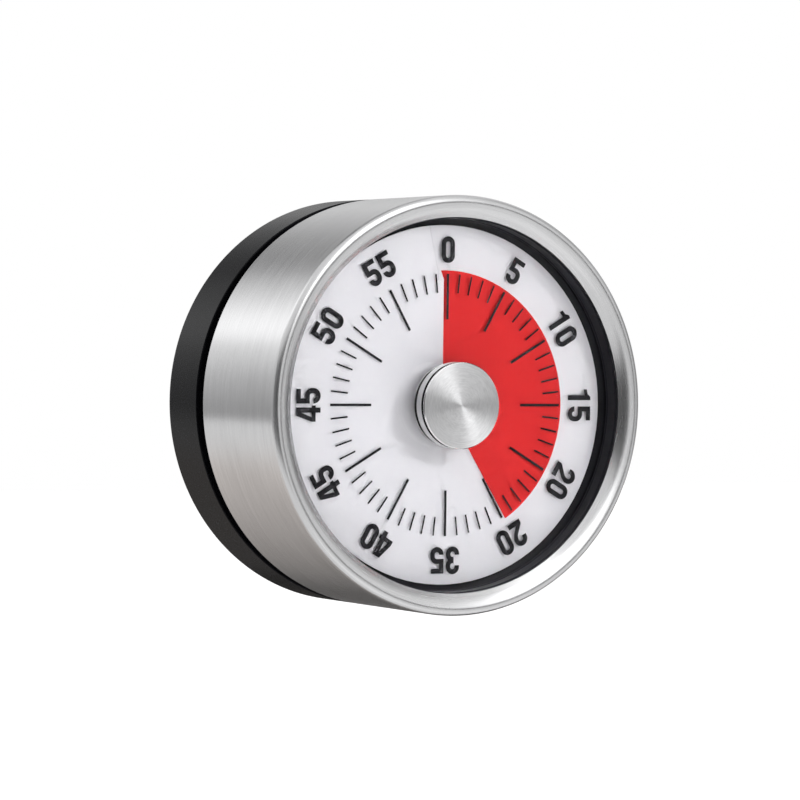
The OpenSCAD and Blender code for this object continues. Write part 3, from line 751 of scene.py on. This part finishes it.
def make_collar(materials, name, node, slot, edge):
    """A plain ring of the knob round its arbor."""
    outer_r = radius(node)
    collar = turned_mesh(name, [
        Corner(SHAFT_R, back(node)),
        Corner(outer_r, back(node), edge),
        Corner(outer_r, front(node), edge),
        Corner(SHAFT_R, front(node)),
    ])
    stand_for(collar, node, slot, "knob", materials)


def make_rear_fittings(materials):
    """The rubber ring and the pot magnet's cup and core."""
    soft_rubber = 0.4 * MM
    pad_top = front("rubber_ring")
    pad = turned_mesh("grip_ring", [
        Corner(PAD_IN, pad_top),
        Corner(PAD_OUT, pad_top),
        Corner(PAD_OUT, 0, soft_rubber),
        Corner(PAD_IN, 0, soft_rubber),
    ])
    stand_for(pad, "rubber_ring", "rubber", "case", materials)
    cup_y = front("magnet_cup")
    cup_floor = cup_y + 1 * MM
    cup_in = MAGNET_R - 1.3 * MM
    cup = turned_mesh("magnet_pot", [
        Corner(0, cup_y),
        Corner(MAGNET_R, cup_y, SOFT),
        Corner(MAGNET_R, 0, SOFT),
        Corner(cup_in, 0, SOFT),
        Corner(cup_in, cup_floor),
        Corner(0, cup_floor),
    ])
    stand_for(cup, "magnet_cup", "zinc_steel", "case", materials)
    core_r = radius("magnet_core")
    core_y = front("magnet_core")
    core = turned_mesh("magnet_disc", [
        Corner(0, core_y),
        Corner(core_r, core_y),
        Corner(core_r, 0, SOFT),
        Corner(0, 0),
    ])
    stand_for(core, "magnet_core", "magnet", "case", materials)


# ---------- CAD nodes that keep their own meshes ----------

KEPT_NODES = {
    "groove_black": ("inner_frame",),
    "ink": ("minute_marks", "numerals"),
    "white_dial": ("dial_plate",),
    "red_disc": ("red_disc",),
    "zinc_steel": ("bell_washer",),
    "screw_steel": ("case_screws", "plate_screws", "hanger_screws", "bell_screw"),
    "brass": (
        "front_plate", "rear_plate", "arbor_bushes", "main_wheel", "second_wheel", "third_wheel",
        "escape_wheel", "balance_bar", "hammer_head",
    ),
    "arbor_steel": (
        "plate_pillars", "hanger_posts", "main_arbor", "ratchet_wheel", "click_stud", "click",
        "second_arbor", "third_arbor", "escape_arbor", "pallet_arbor", "pallet_lever",
        "hammer_arbor", "hammer_arm", "hammer_tail",
    ),
    "spring_steel": ("mainspring", "arbor_clip"),
    "bell_steel": ("bell",),
    "white_plastic": ("knob_washer", "release_cam", "disc_hub"),
}


def dress_kept_nodes(materials):
    for slot, names in KEPT_NODES.items():
        for name in names:
            data = NODES[name].data
            data.materials.clear()
            data.materials.append(materials[slot])


# ---------- studio ----------

FLOOR_HALF = 3.0
FLOOR_DROP = 0.12
FLOOR_TONES = (rgb(238, 237, 235), rgb(246, 245, 243))
FLOOR_GLOW = 0.75
FILL = (0.95, 0.95, 0.97, 1)
FILL_STRENGTH = 0.3
CARD_DISTANCE = 1.5
CARD_STEPS = 24
WARM = (1.0, 0.93, 0.88, 1)
LAMP_DISTANCE = 1.0


def link_factor(tree, *outputs):
    """A clamped sum of some of Light Path's outputs, for a node tree, and the Light Path node."""
    path = tree.nodes.new("ShaderNodeLightPath")
    total = path.outputs[outputs[0]]
    for name in outputs[1:]:
        add = tree.nodes.new("ShaderNodeMath")
        add.operation = "ADD"
        add.use_clamp = True
        tree.links.new(total, add.inputs[0])
        tree.links.new(path.outputs[name], add.inputs[1])
        total = add.outputs[0]
    return total, path


def make_world():
    """White where the camera, a mirror or the lens shows it directly, and a plain grey fill elsewhere."""
    world = bpy.data.worlds.new("studio")
    bpy.context.scene.world = world
    world.use_nodes = True
    tree = world.node_tree
    tree.nodes.clear()
    out = tree.nodes.new("ShaderNodeOutputWorld")
    white = tree.nodes.new("ShaderNodeBackground")
    white.inputs["Color"].default_value = WHITE
    fill = tree.nodes.new("ShaderNodeBackground")
    fill.inputs["Color"].default_value = FILL
    fill.inputs["Strength"].default_value = FILL_STRENGTH
    seen, path = link_factor(tree, "Is Camera Ray", "Is Glossy Ray", "Is Transmission Ray")
    direct = tree.nodes.new("ShaderNodeMath")
    direct.operation = "SUBTRACT"
    direct.use_clamp = True
    tree.links.new(seen, direct.inputs[0])
    tree.links.new(path.outputs["Diffuse Depth"], direct.inputs[1])
    mix = tree.nodes.new("ShaderNodeMixShader")
    tree.links.new(direct.outputs[0], mix.inputs[0])
    tree.links.new(fill.outputs[0], mix.inputs[1])
    tree.links.new(white.outputs[0], mix.inputs[2])
    tree.links.new(mix.outputs[0], out.inputs["Surface"])


def make_floor():
    """A plain pale floor, white where the camera sees it, that keeps the object's shadow."""
    height = -CASE_R - FLOOR_DROP
    ways = ((-1, -1), (1, -1), (1, 1), (-1, 1))
    corners = [(x * FLOOR_HALF, y * FLOOR_HALF, height) for x, y in ways]
    mesh = bpy.data.meshes.new("floor")
    mesh.from_pydata(corners, [], [(0, 1, 2, 3)])
    floor = bpy.data.objects.new("floor", mesh)
    floor.visible_glossy = False
    bpy.context.scene.collection.objects.link(floor)
    n = Nodes("floor_pale")
    tone = n.noise(n.place(), scale=FLOOR_CLOUDS, detail=2.0)
    seen, _ = link_factor(n.tree, "Is Camera Ray", "Is Transmission Ray")
    mesh.materials.append(n.principled(
        Base_Color=n.mix(tone, *FLOOR_TONES),
        Roughness=0.7,
        Emission_Color=WHITE,
        Emission_Strength=n.product(seen, FLOOR_GLOW),
    ))


def faded_ends(n, along, start, end):
    """1 along a card's middle, falling smoothly to 0 over a share of its length at both ends."""
    rise = n.ramp(along, 0.0, 1.0, 0.0, start, smooth=True)
    fall = n.ramp(along, 1.0, 0.0, 1 - end, 1.0, smooth=True)
    return n.product(rise, fall)


def card_material(name, levels, fade, tint):
    """Emission that runs from one level to another along the card, with see-through faded borders."""
    n = Nodes(name)
    u, v, _ = n.split(n.node("ShaderNodeTexCoord").outputs["UV"])
    start, end, side = fade
    lit_by = n.node("ShaderNodeLightPath").outputs["Diffuse Depth"]
    shown = n.math("SUBTRACT", 1.0, lit_by, clamp=True)
    alpha = n.product(faded_ends(n, u, start, end), shown, faded_ends(n, v, side, side))
    glow = n.node("ShaderNodeEmission")
    n.put(glow.inputs["Color"], tint)
    n.put(glow.inputs["Strength"], n.ramp(u, levels[0], levels[1]))
    clear = n.node("ShaderNodeBsdfTransparent")
    mixed = n.fill(n.node("ShaderNodeMixShader"), alpha, clear.outputs[0], glow.outputs[0])
    n.put(n.out.inputs["Surface"], mixed)
    return n.material


def make_card(name, place, levels, fade, layer, tint):
    """A curved studio card that only reflections show; place(u, v) is a direction for u and v from 0 to 1.

    levels are the brightness at u = 0 and u = 1, and fade the shares of the card that fade out at its
    start, its end and both sides. layer is its distance, in times CARD_DISTANCE: a nearer card hides a
    farther one.
    """
    reach = CARD_DISTANCE * layer
    ticks = [i / CARD_STEPS for i in range(CARD_STEPS + 1)]
    mesh = bmesh.new()
    uv_layer = mesh.loops.layers.uv.new("card")
    grid = [[mesh.verts.new(place(u, v) * reach) for v in ticks] for u in ticks]
    for i in range(CARD_STEPS):
        for j in range(CARD_STEPS):
            spots = ((i, j), (i + 1, j), (i + 1, j + 1), (i, j + 1))
            face = mesh.faces.new([grid[a][b] for a, b in spots])
            for loop, (a, b) in zip(face.loops, spots):
                loop[uv_layer].uv = (ticks[a], ticks[b])
    card = object_from(mesh, name)
    card.visible_camera = False
    card.visible_diffuse = False
    card.visible_shadow = False
    card.data.materials.append(card_material(name, levels, fade, tint))


def between(ends, share):
    return ends[0] + (ends[1] - ends[0]) * share


def wedge(name, clock, off_axis, levels, fade, layer=1.0, tint=WHITE):
    """A card behind the object, between two clock angles and two angles off the rearward axis."""
    def place(u, v):
        c = math.radians(between(clock, u))
        t = math.radians(between(off_axis, v))
        return Vector((math.sin(t) * math.sin(c), math.cos(t), math.sin(t) * math.cos(c)))
    make_card(name, place, levels, fade, layer, tint)


def band(name, azimuth, elevation, levels, fade, layer=1.0, tint=WHITE):
    """A card between two azimuths and two elevations."""
    def place(u, v):
        return direction(between(azimuth, u), between(elevation, v))
    make_card(name, place, levels, fade, layer, tint)


def make_cards():
    """The dark flags and bright panels that the polished steel shows."""
    wedge("flag_top", (338, 410), (2, 80), (0.12, 1.0), (0.1, 0.2, 0.05))
    wedge("panel_high_left", (298, 329), (2, 80), (1.9, 1.35), (0.3, 0.3, 0.05))
    wedge("flag_left", (258, 298), (2, 86), (0.38, 0.95), (0.05, 0.4, 0.05), layer=0.98)
    wedge("table_left", (150, 250), (2, 80), (0.15, 0.96), (0.1, 0.2, 0.05), tint=WARM)
    wedge("table_dark", (92, 158), (1, 84), (0.2, 0.0), (0.2, 0.1, 0.05), layer=0.98, tint=WARM)
    wedge("grey_top", (52, 98), (1, 80), (0.42, 0.42), (0.2, 0.2, 0.1), layer=0.96)
    band("horizon_left", (-108, -10), (-24, 26), (0.22, 0.16), (0.1, 0.1, 0.25))
    band("horizon_mid", (-4, 72), (-13, 8), (0.6, 0.85), (0.2, 0.1, 0.1))
    band("lens_flag", (21, 39), (-8, 5), (0.05, 0.05), (0.1, 0.1, 0.15), layer=0.95)
    band("horizon_right", (64, 140), (-14, 22), (0.36, 0.3), (0.1, 0.1, 0.3))
    band("floor_glow", (-30, 106), (-70, -30), (1.27, 1.1), (0.1, 0.1, 0.15), layer=1.04)
    band("key_panel", (-18, 35), (10, 66), (3.3, 2.9), (0.25, 0.3, 0.15))
    band("flange_flag", (-60, -16), (-20, 24), (0.09, 0.09), (0.1, 0.2, 0.25), layer=0.97)
    band("grey_right", (52, 112), (12, 62), (0.8, 0.45), (0.2, 0.2, 0.3), layer=1.02)


def area_light(name, azimuth, elevation, width, height, power):
    """A soft lamp that faces the object, and that no mirror or camera shows."""
    data = bpy.data.lights.new(name, "AREA")
    data.shape = "RECTANGLE"
    data.size = width
    data.size_y = height
    data.energy = power
    lamp = bpy.data.objects.new(name, data)
    away = direction(azimuth, elevation)
    lamp.location = away * LAMP_DISTANCE
    lamp.rotation_mode = "QUATERNION"
    lamp.rotation_quaternion = (-away).to_track_quat("-Z", "Y")
    lamp.visible_camera = False
    lamp.visible_glossy = False
    bpy.context.scene.collection.objects.link(lamp)


def make_lights():
    area_light("front", azimuth=-12, elevation=15, width=0.8, height=0.8, power=2.4)
    area_light("key", azimuth=27, elevation=22, width=0.3, height=0.3, power=13.5)
    area_light("rear_fill", azimuth=215, elevation=50, width=0.7, height=0.5, power=8.0)


def main():
    bpy.context.scene.view_settings.view_transform = "Standard"
    make_camera()
    materials = make_materials()
    make_shell(materials)
    make_rear_case(materials)
    make_dial_rings(materials)
    make_lens(materials)
    make_knob(materials)
    make_rear_fittings(materials)
    dress_kept_nodes(materials)
    make_floor()
    make_world()
    make_cards()
    make_lights()


main()
